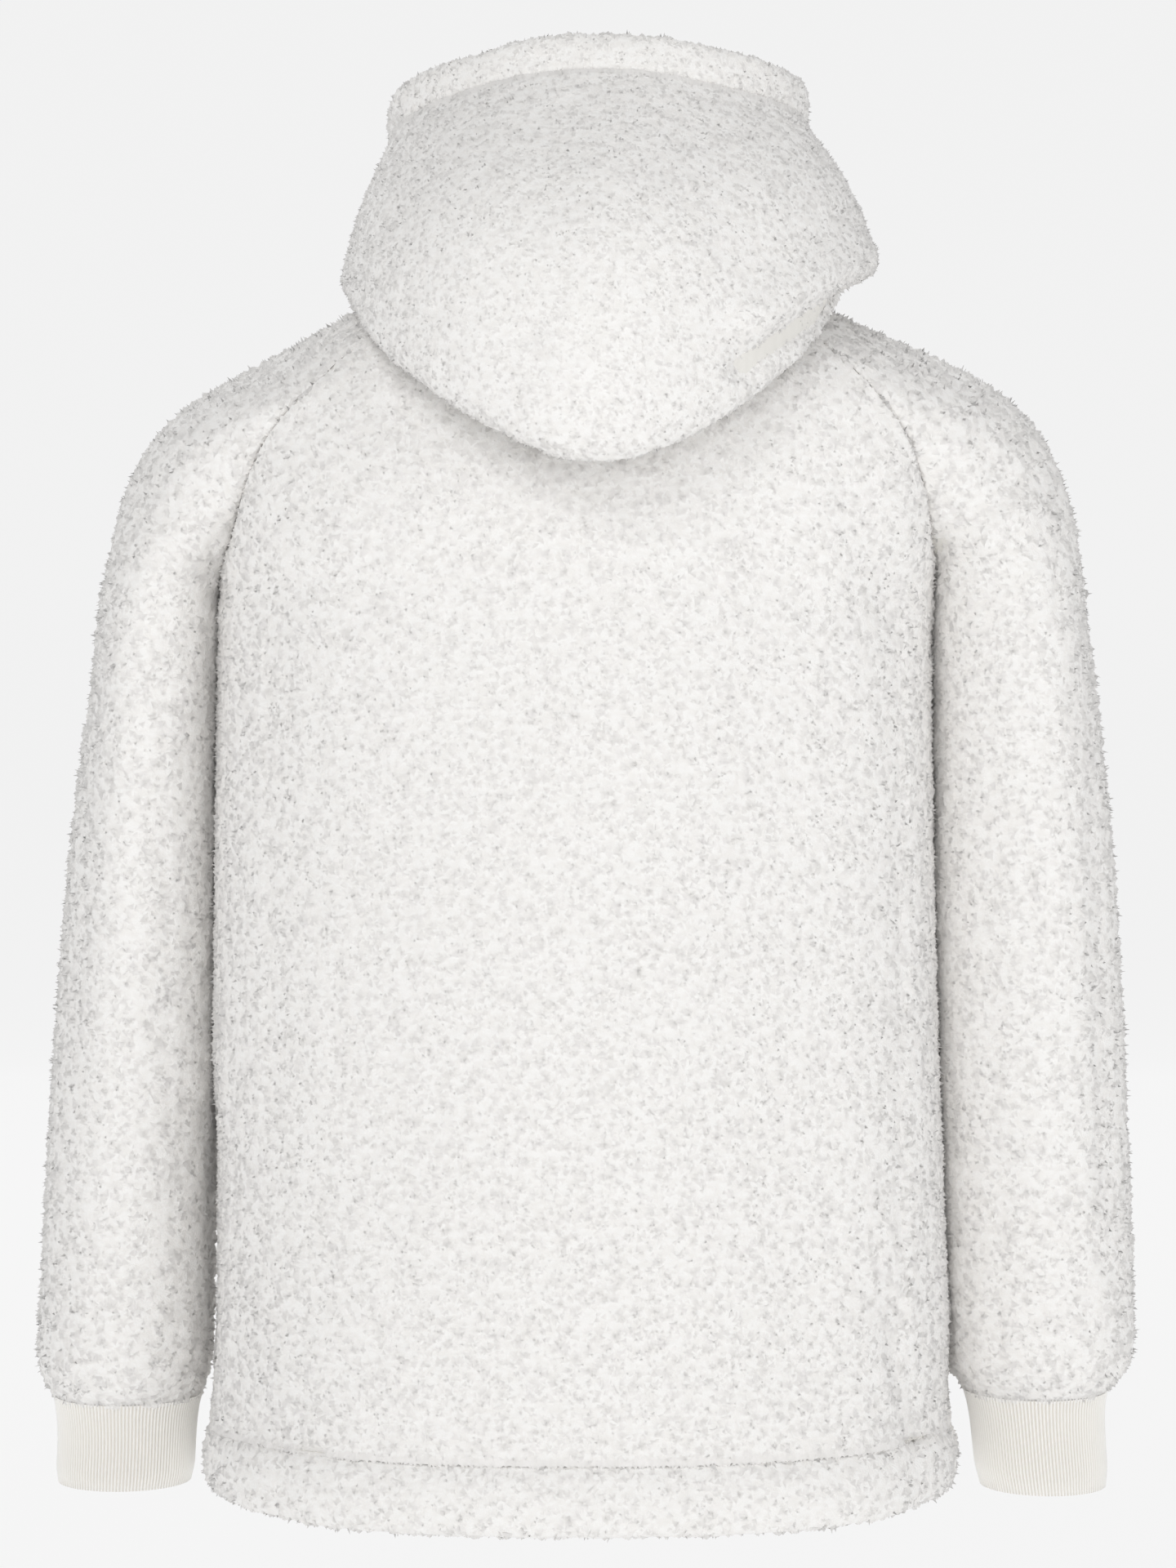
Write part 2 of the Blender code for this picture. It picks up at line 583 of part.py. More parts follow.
def sheet_with_wall(name, rows, wall, surface, endless=False):
    """An open sheet through rows of points, given its wall by Solidify, inwards."""
    bm = bmesh.new()
    made = [[bm.verts.new(p) for p in row] for row in rows]
    count = len(rows[0])
    for i in range(len(rows) - 1):
        for j in range(count if endless else count - 1):
            after = (j + 1) % count
            bm.faces.new([made[i][j], made[i][after], made[i + 1][after], made[i + 1][j]])
    mesh = bpy.data.meshes.new(name)
    bm.to_mesh(mesh)
    bm.free()
    mesh.shade_smooth()
    sheet = bpy.data.objects.new(name, mesh)
    bpy.data.collections[GARMENT].objects.link(sheet)
    solidify = sheet.modifiers.new("wall", "SOLIDIFY")
    solidify.thickness = wall
    solidify.offset = -1.0
    paint(sheet, name, surface)
    return sheet


def neck_point(degrees):
    """A point of the neck seam; 0 degrees is the back and +90 is -X."""
    angle = math.radians(degrees)
    drop = NECK_BACK_DROP if math.cos(angle) > 0 else NECK_FRONT_DROP
    return Vector((
        -NECK_HALF_WIDTH * math.sin(angle),
        NECK_CENTRE_Y + NECK_HALF_DEPTH * math.cos(angle),
        NECK_SIDE_Z - drop * abs(math.cos(angle)) + NECK_SEAM_RISE,
    ))


def hood_profile(degrees):
    """The hood's seven profile points in one direction, then its standing edge."""
    row = table_row(HOOD, HOOD_TABLE_COLUMNS, place_of(HOOD, 0, degrees))
    angle = math.radians(degrees)

    def at(name):
        distance = row[name + "_r"]
        return Vector((-distance * math.sin(angle),
                       HOOD_AXIS_Y + distance * math.cos(angle), row[name + "_z"]))

    return [neck_point(degrees)] + [at(name) for name in HOOD_PROFILE]


def hood_degrees():
    """The directions of the hood's columns, from one front edge round to the other."""
    span = 360.0 - 2 * HOOD_FRONT_DEGREES
    return [-180.0 + HOOD_FRONT_DEGREES + span * i / HOOD_COLUMNS for i in range(HOOD_COLUMNS + 1)]


def build_hood():
    """The hood, lying down on the back as a trough and standing as a collar in front."""
    columns = [hood_profile(degrees)[:-1] for degrees in hood_degrees()]
    rows = []
    for i in range(HOOD_ROWS + 1):
        rows.append([smooth(column, i / HOOD_ROWS) for column in columns])
    sheet_with_wall("hood", rows, HOOD_WALL, FLEECE)


def build_hood_edge():
    """The casing sewn on the hood's opening edge, two layers thick."""
    rings = []
    for degrees in hood_degrees():
        profile = hood_profile(degrees)
        seam, edge = profile[-2], profile[-1]
        along = (edge - seam).normalized()
        length = (edge - seam).length
        angle = math.radians(degrees)
        outward = Vector((-math.sin(angle), math.cos(angle), 0.0))
        outward = (outward - along * outward.dot(along)).normalized()
        near_zip = min((180.0 - abs(degrees)) / BAND_TAPER_DEGREES, 1.0)
        thick = HOOD_WALL + (BAND_THICK - HOOD_WALL) * near_zip
        ring = []
        for share, depth in BAND_SECTION:
            ring.append(seam + along * (BAND_SEAM + (length - BAND_SEAM) * share)
                        - outward * thick * depth)
        rings.append(ring)
    loft("hood_edge_band", rings, FLEECE)


def body_bottom():
    """The body's lower edge, once round, with the outward direction at each point."""
    last = [panel_body_point("back", 1.0, a) for a in across_values("back")]
    front = [panel_body_point("front", 1.0, a) for a in across_values("back")]
    points = last + list(reversed(front))[1:-1]
    found = []
    for i, point in enumerate(points):
        along = points[(i + 1) % len(points)] - points[i - 1]
        found.append((point, Vector((-along.y, along.x, 0.0)).normalized()))
    return found


def build_hem():
    """The hem casing, a soft doubled roll under the body."""
    rings = []
    hem_height = HEM_SECTION[0][0] - HEM_SECTION[-1][0]
    for point, outward in body_bottom():
        half = abs(point.x) / BODY[-1][1]
        rise = HEM_CORNER_RISE * min(half, 1.0) ** HEM_CORNER_POWER
        ring = []
        sides = [(z, out) for z, out, _ in HEM_SECTION]
        sides += [(z, out - thick) for z, out, thick in reversed(HEM_SECTION)]
        for z, out in sides:
            level = rise * (HEM_SECTION[0][0] - z) / hem_height
            ring.append(Vector((point.x, point.y, z + level)) + outward * out)
        rings.append(ring)
    loft("hem_casing", rings, FLEECE, endless=True)


def build_cuffs():
    """Two rib-knit cuffs, each a doubled tube a little narrower at its middle."""
    for side, table in CUFF.items():
        rows = []
        for i in range(CUFF_ROWS + 1):
            row = table_row(table, CUFF_COLUMNS_TABLE, i / CUFF_ROWS)
            mid_x = (row["in_x"] + row["out_x"]) / 2
            reach = (row["out_x"] - row["in_x"]) / 2
            ring = []
            for j in range(CUFF_COLUMNS):
                angle = 2 * math.pi * j / CUFF_COLUMNS
                ring.append(Vector((
                    side_sign(side) * mid_x + reach * math.cos(angle),
                    CUFF_MIDDLE_Y[side] + row["half_y"] * math.sin(angle),
                    row["z"],
                )))
            rows.append(list(reversed(ring)))
        sheet_with_wall("cuff_" + side, rows, RIB_WALL, RIB, endless=True)


def zip_line():
    """The outer surface along the front's middle, bottom to top, evenly spaced."""
    count = zip_slot_rows()
    middle = PANEL_COLUMNS // 2
    panel = [(row[middle] + row[middle + 1]) / 2 for row in panel_rows("front")[:count + 2]]
    collar = [smooth(hood_profile(180)[:-1], i / HOOD_ROWS) for i in range(1, HOOD_ROWS + 1)]
    points = list(reversed(panel)) + collar + [hood_profile(180)[-1]]
    points = [Vector((0.0, p.y, p.z)) for p in points]
    lengths = [0.0]
    for a, b in zip(points, points[1:]):
        lengths.append(lengths[-1] + (b - a).length)
    even = []
    for i in range(ZIP_STEPS + 1):
        target = lengths[-1] * i / ZIP_STEPS
        k = max(j for j in range(len(points) - 1) if lengths[j] <= target + 1e-9)
        share = (target - lengths[k]) / (lengths[k + 1] - lengths[k])
        even.append(points[k].lerp(points[k + 1], share))
    for _ in range(ZIP_SMOOTHING):
        even = [even[0]] + [(even[i - 1] + even[i] * 2 + even[i + 1]) / 4
                            for i in range(1, ZIP_STEPS)] + [even[-1]]
    return even


def zip_frame(line, height):
    """Place, upward direction and outward direction on the zip at a height."""
    k = min(range(len(line) - 1), key=lambda i: abs((line[i].z + line[i + 1].z) / 2 - height))
    low, high = line[k], line[k + 1]
    place = low.lerp(high, (height - low.z) / (high.z - low.z))
    up = (line[min(k + 2, len(line) - 1)] - line[max(k - 1, 0)]).normalized()
    return place, up, Vector((0.0, -up.z, up.y))


def zip_depth_extra(height):
    """How much deeper than elsewhere the zip lies at a height, near the neck seam."""
    return ZIP_NECK_EXTRA * math.exp(-((height - ZIP_NECK_Z) / ZIP_NECK_REACH) ** 2)


def zip_strip(name, line, low_z, high_z, section, surface):
    """A strip along the zip; the section holds pairs of x and depth below the cloth."""
    rings = []
    for i, point in enumerate(line):
        if not low_z <= point.z <= high_z:
            continue
        up = (line[min(i + 1, ZIP_STEPS)] - line[max(i - 1, 0)]).normalized()
        outward = Vector((0.0, -up.z, up.y))
        extra = zip_depth_extra(point.z)
        rings.append([point + Vector((x, 0, 0)) - outward * (depth + extra)
                      for x, depth in section])
    return loft(name, rings, surface)


def box_between(low, high):
    """A box mesh between two corners, in the slider's own directions."""
    bm = bmesh.new()
    bmesh.ops.create_cube(bm, size=1.0)
    middle, size = (low + high) / 2, high - low
    bmesh.ops.scale(bm, vec=size, verts=bm.verts)
    bmesh.ops.translate(bm, vec=middle, verts=bm.verts)
    return bm


def boxes_united(name, boxes, place, bevel, cuts=()):
    """Boxes joined to one solid, less the cutting boxes, turned to its place."""
    def box_object(label, box, collection, hidden):
        bm = box_between(Vector(box[0]), Vector(box[1]))
        mesh = bpy.data.meshes.new(label)
        bm.to_mesh(mesh)
        bm.free()
        made = bpy.data.objects.new(label, mesh)
        made.matrix_world = place
        bpy.data.collections[collection].objects.link(made)
        if hidden:
            made.hide_render = True
            made.display_type = "WIRE"
        return made

    first = box_object(name, boxes[0], GARMENT, False)
    for operation, others in (("UNION", boxes[1:]), ("DIFFERENCE", cuts)):
        for k, box in enumerate(others):
            other = box_object(f"{name}_{operation.lower()}_{k}", box, CUTTERS, True)
            step = first.modifiers.new(other.name, "BOOLEAN")
            step.operation = operation
            step.object = other
    if bevel:
        edge = first.modifiers.new("edges", "BEVEL")
        edge.width = bevel
        edge.segments = 1
    paint(first, name, METAL)
    return first


def build_zip():
    """Two tapes behind the front edges, the closed chain, its stop, slider and pull."""
    line = zip_line()
    top, bottom = line[-1].z, line[0].z
    slot_bottom = panel_rows("front")[zip_slot_rows()][PANEL_COLUMNS // 2].z
    depth = ZIP_TAPE_DEPTH
    for side, sign in (("right", -1.0), ("left", 1.0)):
        face = [(sign * ZIP_TAPE_SPLIT, depth),
                (sign * ZIP_TAPE_HALF / 2, depth + ZIP_TAPE_MIDDLE_SAG),
                (sign * ZIP_TAPE_HALF, depth + ZIP_TAPE_SAG)]
        section = face + [(x, deep + ZIP_TAPE_THICK) for x, deep in reversed(face)]
        zip_strip("zip_tape_" + side, line, bottom, top - ZIP_TOP_MARGIN, section, TAPE)
    under = depth - SEAM_GAP
    chain = [(-ZIP_CHAIN_HALF, under), (-ZIP_CHAIN_HALF, under - ZIP_CHAIN_THICK),
             (ZIP_CHAIN_HALF, under - ZIP_CHAIN_THICK), (ZIP_CHAIN_HALF, under)]
    zip_strip("zip_chain", line, slot_bottom + ZIP_CHAIN_RISE, top - 2 * ZIP_TOP_MARGIN,
              chain, TEETH)
    place, up, outward = zip_frame(line, slot_bottom + ZIP_STOP_RISE)
    across = Vector((1.0, 0.0, 0.0))
    to_world = Matrix((across, -outward, up)).transposed().to_4x4()
    to_world.translation = place - outward * under
    stop = ((-ZIP_CHAIN_HALF, -ZIP_CHAIN_THICK - ZIP_STOP_PROUD, -ZIP_STOP_LENGTH / 2),
            (ZIP_CHAIN_HALF, 0.0, ZIP_STOP_LENGTH / 2 - ZIP_STOP_GAP))
    boxes_united("zip_bottom_stop", [stop], to_world, ZIP_STOP_EDGE)
    build_slider(line, top, under)


def build_slider(line, top, under):
    """The slider straddling the chain, and the pull tab hung on its bridge."""
    place, up, outward = zip_frame(line, top - SLIDER_BELOW_TOP)
    across = Vector((1.0, 0.0, 0.0))
    to_world = Matrix((across, -outward, up)).transposed().to_4x4()
    to_world.translation = place - outward * (under - ZIP_CHAIN_THICK - SLIDER_CLEARANCE)
    plate = SLIDER_PLATE
    half = SLIDER_LENGTH / 2
    arch = BRIDGE_LENGTH / 2
    boxes = [
        ((-SLIDER_HALF_WIDTH, -plate, -half), (SLIDER_HALF_WIDTH, 0.0, half)),
        ((-SLIDER_HALF_WIDTH, -plate / 2, -half),
         (-SLIDER_HALF_WIDTH + SLIDER_FLANGE, SLIDER_FLANGE_DEPTH, half)),
        ((SLIDER_HALF_WIDTH - SLIDER_FLANGE, -plate / 2, -half),
         (SLIDER_HALF_WIDTH, SLIDER_FLANGE_DEPTH, half)),
        ((-BRIDGE_HALF_WIDTH, -plate - BRIDGE_HEIGHT, -arch),
         (BRIDGE_HALF_WIDTH, -plate / 2, -arch + BRIDGE_BAR)),
        ((-BRIDGE_HALF_WIDTH, -plate - BRIDGE_HEIGHT, arch - BRIDGE_BAR),
         (BRIDGE_HALF_WIDTH, -plate / 2, arch)),
        ((-BRIDGE_HALF_WIDTH, -plate - BRIDGE_HEIGHT, -arch),
         (BRIDGE_HALF_WIDTH, -plate - BRIDGE_HEIGHT + BRIDGE_BAR, arch)),
    ]
    boxes_united("zip_slider", boxes, to_world, 0.0)
    hinge = Vector((0.0, -plate - PULL_THICK / 2 - PULL_CLEARANCE,
                    -arch + BRIDGE_BAR + PULL_CROSSBAR / 2 + PULL_CLEARANCE))
    at_hinge = to_world @ Matrix.Translation(hinge)
    thick = PULL_THICK / 2
    edge = PULL_CROSSBAR / 2
    tab = [((-PULL_HALF_WIDTH, -thick, edge - PULL_LENGTH), (PULL_HALF_WIDTH, thick, edge))]
    eye = [((-PULL_EYE_HALF, -4 * thick, -edge - PULL_EYE_LENGTH),
            (PULL_EYE_HALF, 4 * thick, -edge))]
    boxes_united("zip_pull", tab, at_hinge, 0.0, eye)


def main():
    for old in list(bpy.data.objects):
        bpy.data.objects.remove(old)
    for old in list(bpy.data.collections):
        bpy.data.collections.remove(old)
    collection = bpy.data.collections.new(GARMENT)
    bpy.context.scene.collection.children.link(collection)
    collection = bpy.data.collections.new(CUTTERS)
    bpy.context.scene.collection.children.link(collection)
    build_body_and_sleeves()
    build_hood()
    build_hood_edge()
    build_hem()
    build_cuffs()
    build_zip()


main()
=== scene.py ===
"""Looks of the half-zip pile-fleece hoodie, seen from behind in soft studio light.

Every cloth piece is a fine sheet grown from its CAD solid's outer face, with the pile
as thousands of small leaning locks on it.  Units are metres; +Y is the garment's back.
"""

import math

import bmesh
import bpy
import numpy as np
from mathutils import Matrix, Vector, noise
from mathutils.bvhtree import BVHTree
from mathutils.kdtree import KDTree


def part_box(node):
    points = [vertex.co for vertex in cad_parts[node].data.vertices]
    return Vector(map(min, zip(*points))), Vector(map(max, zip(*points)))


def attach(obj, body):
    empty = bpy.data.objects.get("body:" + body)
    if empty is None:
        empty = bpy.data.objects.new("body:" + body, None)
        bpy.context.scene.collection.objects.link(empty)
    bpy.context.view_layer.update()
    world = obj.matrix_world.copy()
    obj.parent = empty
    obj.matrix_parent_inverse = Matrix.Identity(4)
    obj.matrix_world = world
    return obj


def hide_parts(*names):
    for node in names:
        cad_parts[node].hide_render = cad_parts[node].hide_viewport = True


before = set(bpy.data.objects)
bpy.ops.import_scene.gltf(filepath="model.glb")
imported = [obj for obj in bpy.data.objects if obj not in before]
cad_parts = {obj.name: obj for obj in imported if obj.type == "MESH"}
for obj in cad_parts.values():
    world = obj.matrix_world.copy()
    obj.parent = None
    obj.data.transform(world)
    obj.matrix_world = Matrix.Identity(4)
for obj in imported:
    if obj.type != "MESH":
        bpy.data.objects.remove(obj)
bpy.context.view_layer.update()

PHOTO_WIDTH, PHOTO_HEIGHT = 1440, 1920
METRES_PER_PIXEL = 0.00048       # at the sides of the body
CAMERA_DISTANCE = 2.0
NECK_PIXEL = (717, 400)          # where the frame's origin lies in the photograph
SENSOR = 36.0

FLOOR_HEIGHT = -0.82             # studio paper: floor, curve and wall, out of the light's way
WALL_BACK, WALL_TOP, PAPER_HALF_WIDTH, PAPER_CURVE = -5.4, 8.0, 9.0, 1.0
PAPER_GLOW = 0.82
ROOM_LIGHT = 0.46

SHEET_LEVELS = 3                 # halvings of the CAD's cloth cells
BORDER_SPACING = 0.0013          # locks along each sewn edge, leaning over the seam
BORDER_INSET = 0.0008
LOCK_ROOT = 0.0006               # how deep a lock's foot sits in its sheet
SEAM_REACH = 0.0011
CLEFT_SWELL = 0.0034             # pile that meets between a sleeve and the body
TUFT_SHARE = 0.20                # locks that stand up thin and free, as a soft fringe
ZIP_CLEAR = 0.020                # half width of the front's middle where no locks are grown along the sewn edges
REVERSE_LEVELS = 1               # halvings of the knitted reverse
LUMP_SIZE = 0.011                # soft unevenness of the standing pile
LUMP_HEIGHT = 0.0009
RIB_PITCH = 0.0022
RIB_HEIGHT = 0.00060
RIB_POINTS, RIB_ROWS = 8, 16     # points across each rib, rows down the cuff
# where plain rib knit sits on the rib's painted shade, from 0 in a groove to 1 on a ridge
PLAIN_RIB_PAINTED_LIGHT = 0.8
TOOTH_PITCH = 0.0021
TOOTH_WIDTH, TOOTH_DEPTH, TOOTH_FILL, TOOTH_FOOT = 0.0034, 0.0016, 0.82, 0.62
TOOTH_OFFSET = 0.0009            # how far a tooth sits to its side, and in from the front
CHAIN_END = 0.0006               # left free at each end of the chain


def deselect_all():
    for thing in bpy.context.selected_objects:
        thing.select_set(False)


def linear(colour):
    """An sRGB hex colour as linear red, green, blue and alpha."""
    parts = [int(colour[i:i + 2], 16) / 255 for i in (1, 3, 5)]
    return [c / 12.92 if c <= 0.04045 else ((c + 0.055) / 1.055) ** 2.4 for c in parts] + [1.0]


def add_node(tree, kind, settings=(), inputs=()):
    """A shader node with its settings, and its inputs as values or links."""
    node = tree.nodes.new(kind)
    for name, value in dict(settings).items():
        setattr(node, name, value)
    for name, value in dict(inputs).items():
        if isinstance(value, bpy.types.NodeSocket):
            tree.links.new(value, node.inputs[name])
        else:
            node.inputs[name].default_value = value
    return node


def new_material(name, colour, roughness, **sockets):
    """A Principled material and its tree, with constant values on the shader."""
    made = bpy.data.materials.new(name)
    made.use_nodes = True
    shader = made.node_tree.nodes["Principled BSDF"]
    shader.inputs["Base Color"].default_value = linear(colour)
    shader.inputs["Roughness"].default_value = roughness
    for label, value in sockets.items():
        shader.inputs[label.replace("_", " ")].default_value = value
    return made, made.node_tree, shader


def add_bump(tree, shader, height, strength, distance):
    """Fine relief on a shader, from a socket that gives its height."""
    bump = add_node(tree, "ShaderNodeBump", {}, {"Height": height, "Strength": strength,
                                                "Distance": distance})
    tree.links.new(bump.outputs[0], shader.inputs["Normal"])


def add_tint(tree, shader, amount, low, high, start=0.0, end=1.0):
    """A base colour that goes from low to high as amount goes from start to end."""
    tint = add_node(tree, "ShaderNodeValToRGB", {}, {"Fac": amount})
    for stop, place, colour in zip(tint.color_ramp.elements, (start, end), (low, high)):
        stop.position = place
        stop.color = linear(colour)
    tree.links.new(tint.outputs[0], shader.inputs["Base Color"])


def fleece_face_material():
    """Brushed polyester pile fleece: matt, with shallow cracks between its clumps, and painted
    shade in the cracks.
    """
    made, tree, shader = new_material("polyester_pile_fleece", "#F6F5F3", 0.95,
                                      Sheen_Weight=0.35, Sheen_Roughness=0.6)
    place = add_node(tree, "ShaderNodeTexCoord")
    warp = add_node(tree, "ShaderNodeTexNoise", {}, {"Vector": place.outputs["Object"],
                                                    "Scale": 90.0, "Detail": 2.0})
    shifted = add_node(tree, "ShaderNodeVectorMath", {"operation": "MULTIPLY_ADD"},
                       {0: warp.outputs["Color"], 1: (0.006, 0.006, 0.006),
                        2: place.outputs["Object"]})
    flat = add_node(tree, "ShaderNodeMapping", {}, {"Vector": shifted.outputs[0],
                                                   "Scale": (1.0, 1.0, 1.5)})
    clumps = add_node(tree, "ShaderNodeTexVoronoi", {"feature": "SMOOTH_F1"},
                      {"Vector": flat.outputs[0], "Scale": 1 / 0.0056, "Smoothness": 0.35})
    hairs = add_node(tree, "ShaderNodeTexNoise", {}, {"Vector": place.outputs["Object"],
                                                     "Scale": 900.0, "Detail": 4.0})
    height = add_node(tree, "ShaderNodeMath", {"operation": "MULTIPLY_ADD"},
                      {0: clumps.outputs["Distance"], 1: -1.0, 2: hairs.outputs["Fac"]})
    add_bump(tree, shader, height.outputs[0], 0.3, 0.0010)
    # Painted shade: the base colour darkens away from each clump's middle, into the cracks between
    # clumps.
    add_tint(tree, shader, clumps.outputs["Distance"], "#F9F8F6", "#F4F2EF", 0.35, 0.80)
    return made


def pile_material():
    """The same polyester as loose locks, a touch lighter, its tone varying a little in patches."""
    made, tree, shader = new_material("polyester_pile_locks", "#F9F8F6", 0.9,
                                      Sheen_Weight=0.25, Sheen_Roughness=0.5)
    place = add_node(tree, "ShaderNodeTexCoord")
    patches = add_node(tree, "ShaderNodeTexNoise", {}, {"Vector": place.outputs["Object"],
                                                       "Scale": 160.0, "Detail": 3.0})
    add_tint(tree, shader, patches.outputs["Fac"], "#F6F4F1", "#FAF8F6", 0.35, 0.65)
    return made


def fleece_reverse_material():
    """The knitted back of the fleece: flat and fine, with the pile showing through."""
    made, tree, shader = new_material("polyester_knit_reverse", "#EDEBE6", 0.9)
    place = add_node(tree, "ShaderNodeTexCoord")
    rows = add_node(tree, "ShaderNodeTexWave", {"bands_direction": "X"},
                    {"Vector": place.outputs["Object"], "Scale": 60.0, "Distortion": 1.0})
    add_bump(tree, shader, rows.outputs["Fac"], 0.3, 0.0004)
    return made


def rib_material():
    """Cotton rib knit: cream, slightly fuzzy, its stitches drawn along each rib, with painted
    shade in the grooves and painted light on the ribs.
    """
    made, tree, shader = new_material("cotton_rib_knit", "#F0ECE4", 0.85,
                                      Sheen_Weight=0.3, Sheen_Roughness=0.5)
    place = add_node(tree, "ShaderNodeTexCoord")
    stitches = add_node(tree, "ShaderNodeTexWave", {"bands_direction": "Z"},
                        {"Vector": place.outputs["Object"], "Scale": 1 / 0.0060,
                         "Distortion": 1.5, "Detail": 1.0, "Detail Scale": 3.0})
    fuzz = add_node(tree, "ShaderNodeTexNoise", {}, {"Vector": place.outputs["Object"],
                                                    "Scale": 1400.0, "Detail": 3.0})
    height = add_node(tree, "ShaderNodeMath", {"operation": "ADD"},
                      {0: stitches.outputs["Fac"], 1: fuzz.outputs["Fac"]})
    add_bump(tree, shader, height.outputs[0], 0.15, 0.0002)
    # Painted shade and light: darker cream in each groove, lighter cream on top of each rib.
    ridge_shade = add_node(tree, "ShaderNodeAttribute", {"attribute_name": "ridge_shade"})
    add_tint(tree, shader, ridge_shade.outputs["Fac"], "#E3DFD7", "#FDFCF9")
    return made


def tape_material():
    """Woven polyester tape: fine cross ribs with a dull shine."""
    made, tree, shader = new_material("polyester_woven_tape", "#EFEBE2", 0.7)
    place = add_node(tree, "ShaderNodeTexCoord")
    weave = add_node(tree, "ShaderNodeTexWave", {"bands_direction": "Z"},
                     {"Vector": place.outputs["Object"], "Scale": 320.0, "Distortion": 0.4})
    add_bump(tree, shader, weave.outputs["Fac"], 0.4, 0.0002)
    return made


def teeth_material():
    """Moulded acetal teeth: off-white with a faint mould texture."""
    made, tree, shader = new_material("acetal_moulded_teeth", "#EDE9DF", 0.42)
    place = add_node(tree, "ShaderNodeTexCoord")
    grain = add_node(tree, "ShaderNodeTexNoise", {}, {"Vector": place.outputs["Object"],
                                                     "Scale": 1200.0, "Detail": 2.0})
    add_bump(tree, shader, grain.outputs["Fac"], 0.15, 0.0001)
    return made


def nickel_material():
    """Die-cast zinc with satin nickel plating: soft grey reflections, fine wear."""
    made, tree, shader = new_material("satin_nickel_plating", "#B9B6B0", 0.3, Metallic=1.0)
    place = add_node(tree, "ShaderNodeTexCoord")
    wear = add_node(tree, "ShaderNodeTexNoise", {}, {"Vector": place.outputs["Object"],
                                                    "Scale": 700.0, "Detail": 5.0})
    spread = add_node(tree, "ShaderNodeMapRange", {}, {"Value": wear.outputs["Fac"],
                                                      "To Min": 0.24, "To Max": 0.42})
    tree.links.new(spread.outputs[0], shader.inputs["Roughness"])
    return made


FACE = fleece_face_material()
PILE = pile_material()
REVERSE = fleece_reverse_material()
RIB = rib_material()
TAPE = tape_material()
TEETH = teeth_material()
NICKEL = nickel_material()


def place_camera():
    """The photograph's camera: level, behind the garment, at the frame's middle height."""
    data = bpy.data.cameras.new("camera")
    data.sensor_width = SENSOR
    data.lens = CAMERA_DISTANCE / METRES_PER_PIXEL / PHOTO_HEIGHT * SENSOR
    data.clip_end = 50.0
    camera = bpy.data.objects.new("camera", data)
    bpy.context.scene.collection.objects.link(camera)
    x = (NECK_PIXEL[0] - PHOTO_WIDTH / 2) * METRES_PER_PIXEL
    z = (NECK_PIXEL[1] - PHOTO_HEIGHT / 2) * METRES_PER_PIXEL
    camera.location = (x, CAMERA_DISTANCE, z)
    camera.rotation_euler = (math.radians(90), 0, math.radians(180))
    bpy.context.scene.camera = camera


def build_studio():
    """A pale seamless floor and wall, four soft lights and a bright room."""
    bm = bmesh.new()
    curve = WALL_BACK + PAPER_CURVE
    profile = [(FLOOR_HEIGHT, WALL_TOP), (FLOOR_HEIGHT, curve)]
    profile += [(FLOOR_HEIGHT + PAPER_CURVE * (1 - math.cos(a)), curve - PAPER_CURVE * math.sin(a))
                for a in np.linspace(0.0, math.pi / 2, 9)[1:]]
    profile += [(WALL_TOP, WALL_BACK)]
    rows = [[bm.verts.new((x, y, z)) for x in (-PAPER_HALF_WIDTH, PAPER_HALF_WIDTH)]
            for z, y in profile]
    for low, high in zip(rows, rows[1:]):
        bm.faces.new([low[0], high[0], high[1], low[1]])
    mesh = bpy.data.meshes.new("studio_sweep")
    bm.to_mesh(mesh)
    bm.free()
    mesh.shade_smooth()
    sweep = linked("studio_sweep", mesh)
    paper, _, shader = new_material("white_studio_paper", "#505050", 1.0,
                                    Emission_Strength=PAPER_GLOW)
    shader.inputs["Emission Color"].default_value = linear("#FFFFFF")
    mesh.materials.append(paper)

    world = bpy.data.worlds.new("studio_room")
    world.use_nodes = True
    ground = world.node_tree.nodes["Background"]
    ground.inputs["Color"].default_value = linear("#FFFFFF")
    ground.inputs["Strength"].default_value = ROOM_LIGHT
    bpy.context.scene.world = world
    for name, spot, aim, size, power in (
        ("key_softbox", (1.1, 3.0, 1.7), (0.0, 0.0, -0.2), 1.8, 20.0),
        ("camera_softbox", (0.2, 4.2, -0.1), (0.0, 0.0, -0.3), 2.4, 31.0),
        ("side_softbox", (-2.4, 1.9, 0.3), (0.0, 0.0, -0.3), 1.4, 10.0),
        ("front_fill", (0.6, -2.8, 2.7), (0.0, 0.0, -0.2), 1.8, 30.0),
    ):
        light = bpy.data.lights.new(name, "AREA")
        light.shape = "DISK"
        light.size = size
        light.energy = power
        lamp = bpy.data.objects.new(name, light)
        lamp.location = spot
        lamp.rotation_euler = (Vector(aim) - Vector(spot)).to_track_quat("-Z", "Y").to_euler()
        bpy.context.scene.collection.objects.link(lamp)
    bpy.context.scene.view_settings.view_transform = "Standard"


def node_mesh(name):
    """A merged copy of a CAD node's mesh, its triangles paired to quads."""
    bm = bmesh.new()
    bm.from_mesh(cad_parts[name].data)
    bmesh.ops.remove_doubles(bm, verts=bm.verts, dist=1e-5)
    bmesh.ops.join_triangles(bm, faces=bm.faces, angle_face_threshold=0.9,
                             angle_shape_threshold=1.2)
    bm.faces.ensure_lookup_table()
    bm.normal_update()
    return bm


def face_region(bm, toward, likeness=0.6):
    """The faces of one side of a wall, grown from the face nearest to a far point."""
    seed = min(bm.faces, key=lambda f: (f.calc_center_median() - Vector(toward)).length)
    found, waiting = {seed}, [seed]
    while waiting:
        face = waiting.pop()
        for edge in face.edges:
            for other in edge.link_faces:
                if other not in found and face.normal.dot(other.normal) > likeness:
                    found.add(other)
                    waiting.append(other)
    return found


